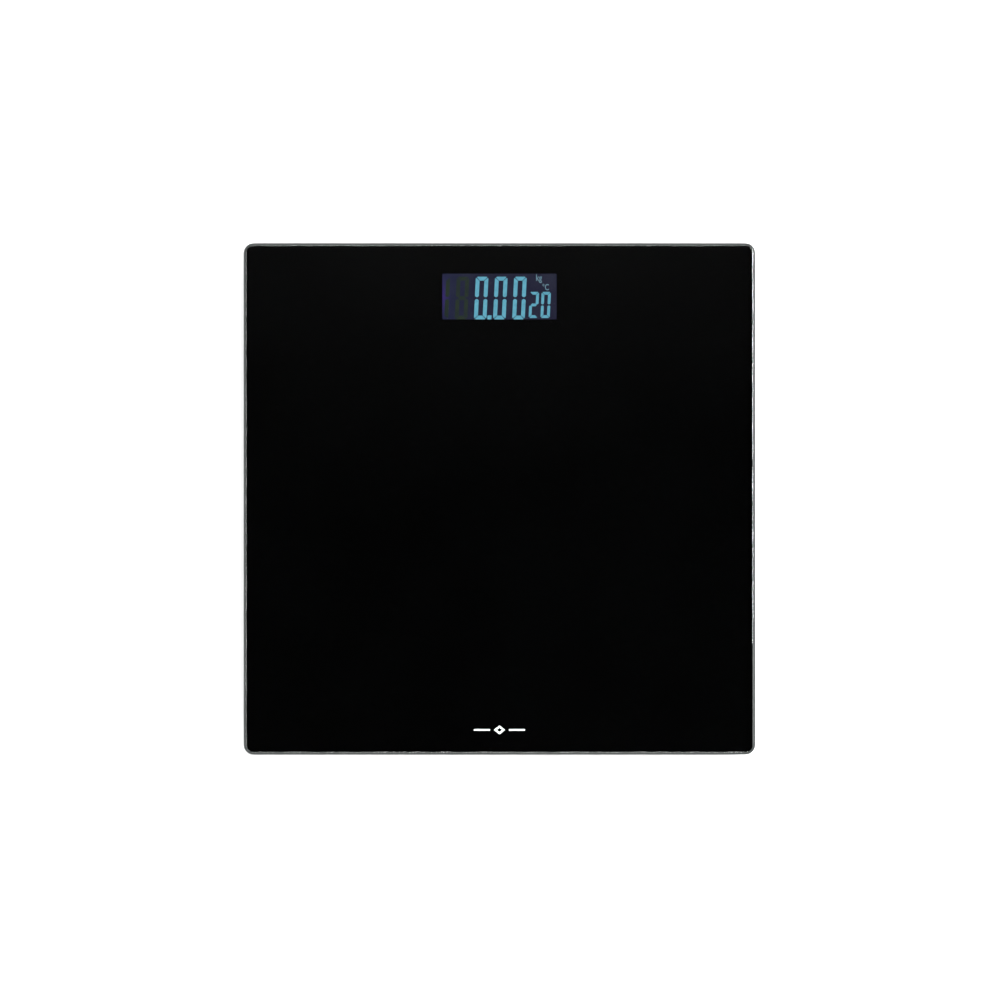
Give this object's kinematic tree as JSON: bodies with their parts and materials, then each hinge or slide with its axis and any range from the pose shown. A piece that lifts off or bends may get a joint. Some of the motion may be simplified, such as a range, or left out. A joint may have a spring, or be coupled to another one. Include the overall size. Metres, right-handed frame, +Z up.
{
  "type": "digital bathroom scale",
  "caption": "Square glass platform scale: four sprung load-cell feet, a glued pod with a digital display, battery door and unit button, and leads in side channels.",
  "frame": {"origin": "on the floor, under the middle of the glass platform", "axes": "+Z up; +Y towards the display end; +X to the right when the display is read upright"},
  "size_m": [0.3, 0.3, 0.022],
  "materials": {
    "clear_glass": "polished",
    "back_print": "gloss",
    "black_plastic": "satin",
    "grey_rubber": "matte",
    "black_rubber": "matte",
    "foam_tape": "matte",
    "screw_steel": "satin",
    "cell_steel": "satin",
    "contact_nickel": "satin",
    "gauge_gel": "satin",
    "lead_jacket": "satin",
    "red_wire": "satin",
    "black_wire": "satin",
    "circuit_board": "satin",
    "epoxy": "satin",
    "display": "gloss",
    "light_guide": "satin",
    "battery_sleeve": "gloss"
  },
  "bodies": {
    "platform": {"glass_platform": "clear_glass", "printed_backing": "back_print", "pod_tape": "foam_tape", "pod_frame": "black_plastic", "pod_cover": "black_plastic", "cover_screw_1": "screw_steel", "cover_screw_2": "screw_steel", "cover_screw_3": "screw_steel", "cover_screw_4": "screw_steel", "board_screw_1": "screw_steel", "board_screw_2": "screw_steel", "display_panel": "display", "backlight_guide": "light_guide", "contact_strip": "black_rubber", "main_board": "circuit_board", "chip_potting": "epoxy", "unit_switch": "epoxy", "battery_1": "battery_sleeve", "battery_2": "battery_sleeve", "contact_link": "contact_nickel", "contact_positive": "contact_nickel", "contact_negative": "contact_nickel", "link_spring": "contact_nickel", "negative_spring": "contact_nickel", "battery_lead_positive": "red_wire", "battery_lead_negative": "black_wire", "foot_tape_display_right": "foam_tape", "foot_housing_display_right": "black_plastic", "load_cell_display_right": "cell_steel", "gauge_potting_display_right": "gauge_gel", "foot_tape_display_left": "foam_tape", "foot_housing_display_left": "black_plastic", "load_cell_display_left": "cell_steel", "gauge_potting_display_left": "gauge_gel", "foot_tape_heel_left": "foam_tape", "foot_housing_heel_left": "black_plastic", "load_cell_heel_left": "cell_steel", "gauge_potting_heel_left": "gauge_gel", "foot_tape_heel_right": "foam_tape", "foot_housing_heel_right": "black_plastic", "load_cell_heel_right": "cell_steel", "gauge_potting_heel_right": "gauge_gel", "side_duct_left": "black_plastic", "pod_duct_left": "black_plastic", "lead_display_left": "lead_jacket", "lead_heel_left": "lead_jacket", "side_duct_right": "black_plastic", "pod_duct_right": "black_plastic", "lead_display_right": "lead_jacket", "lead_heel_right": "lead_jacket"},
    "foot_display_right": {"foot_cap_display_right": "black_plastic", "foot_grip_display_right": "grey_rubber"},
    "foot_display_left": {"foot_cap_display_left": "black_plastic", "foot_grip_display_left": "grey_rubber"},
    "foot_heel_left": {"foot_cap_heel_left": "black_plastic", "foot_grip_heel_left": "grey_rubber"},
    "foot_heel_right": {"foot_cap_heel_right": "black_plastic", "foot_grip_heel_right": "grey_rubber"},
    "battery_door": {"battery_door": "black_plastic"},
    "unit_button": {"unit_button": "grey_rubber"}
  },
  "joints": [
    {"name": "foot_travel_display_right", "type": "slide", "parent": "platform", "child": "foot_display_right", "axis": [0, 0, 1], "range_m": [0, 0.0005], "stiffness_N_per_m": 40000, "deforming": ["load_cell_display_right"]},
    {"name": "foot_travel_display_left", "type": "slide", "parent": "platform", "child": "foot_display_left", "axis": [0, 0, 1], "range_m": [0, 0.0005], "stiffness_N_per_m": 40000, "deforming": ["load_cell_display_left"]},
    {"name": "foot_travel_heel_left", "type": "slide", "parent": "platform", "child": "foot_heel_left", "axis": [0, 0, 1], "range_m": [0, 0.0005], "stiffness_N_per_m": 40000, "deforming": ["load_cell_heel_left"]},
    {"name": "foot_travel_heel_right", "type": "slide", "parent": "platform", "child": "foot_heel_right", "axis": [0, 0, 1], "range_m": [0, 0.0005], "stiffness_N_per_m": 40000, "deforming": ["load_cell_heel_right"]},
    {"name": "battery_door_hinge", "type": "hinge", "parent": "platform", "child": "battery_door", "pos_m": [0, 0.0882, 0.0033], "axis": [1, 0, 0], "range_deg": [0, 100]},
    {"name": "unit_button_press", "type": "slide", "parent": "platform", "child": "unit_button", "axis": [0, 0, 1], "range_m": [0, 0.0005], "stiffness_N_per_m": 600}
  ]
}
